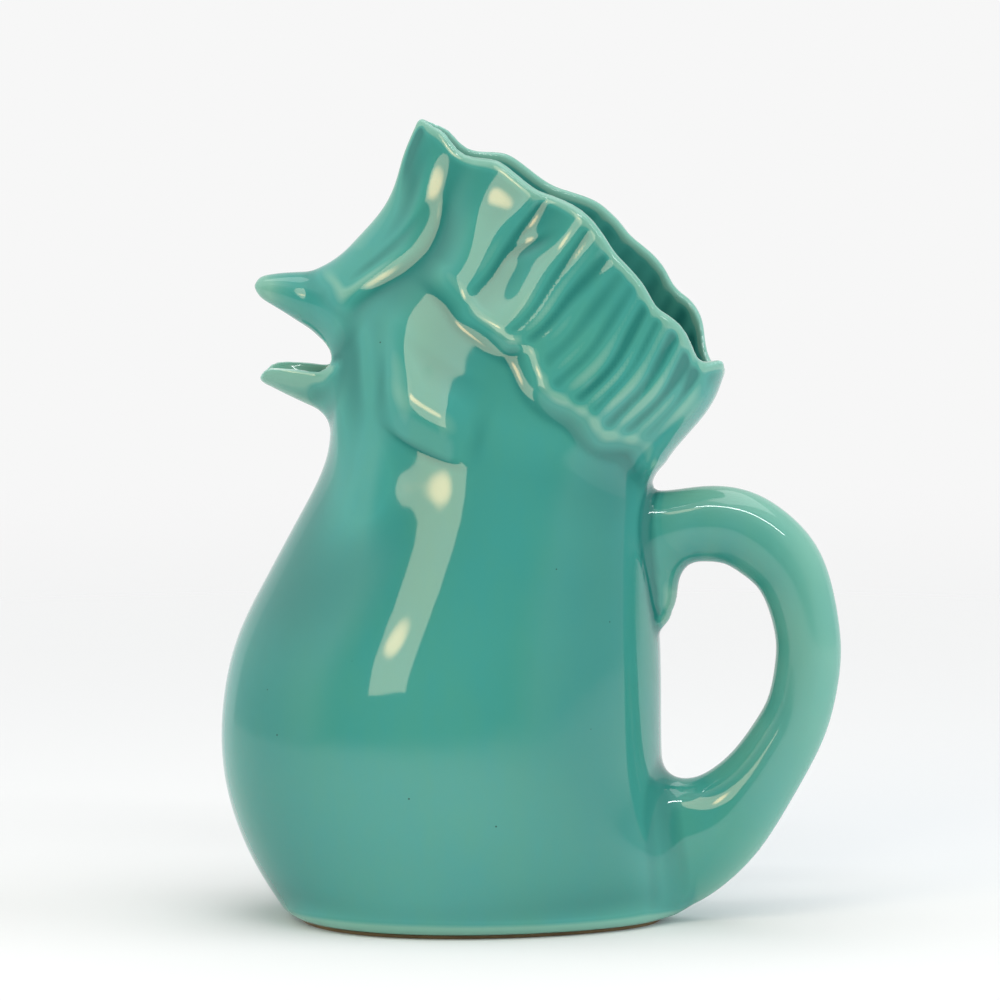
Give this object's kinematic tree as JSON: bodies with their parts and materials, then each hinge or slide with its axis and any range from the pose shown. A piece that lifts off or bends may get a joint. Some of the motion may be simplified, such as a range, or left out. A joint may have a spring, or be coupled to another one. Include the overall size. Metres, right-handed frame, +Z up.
{
  "type": "rooster-shaped carafe",
  "caption": "Upright ceramic pouring jug shaped as a rooster, with a fluted open comb for filling, an open beak as its spout and a loop handle for a tail.",
  "frame": {"origin": "bottom centre of the bounding box, on the surface the jug stands on", "axes": "+X from the beak towards the handle, +Y across the jug, +Z up"},
  "size_m": [0.1851, 0.1062, 0.2392],
  "materials": {
    "teal_glaze": "glossy teal glaze over pale clay",
    "bare_clay": "unglazed fired clay, matt"
  },
  "bodies": {
    "root": {"body_shell": "teal_glaze", "comb_collar": "teal_glaze", "upper_beak": "teal_glaze", "lower_beak": "teal_glaze", "wattle_left": "teal_glaze", "wattle_right": "teal_glaze", "ear_lobe_left": "teal_glaze", "ear_lobe_right": "teal_glaze", "handle": "teal_glaze", "foot_ring": "bare_clay"}
  },
  "joints": []
}
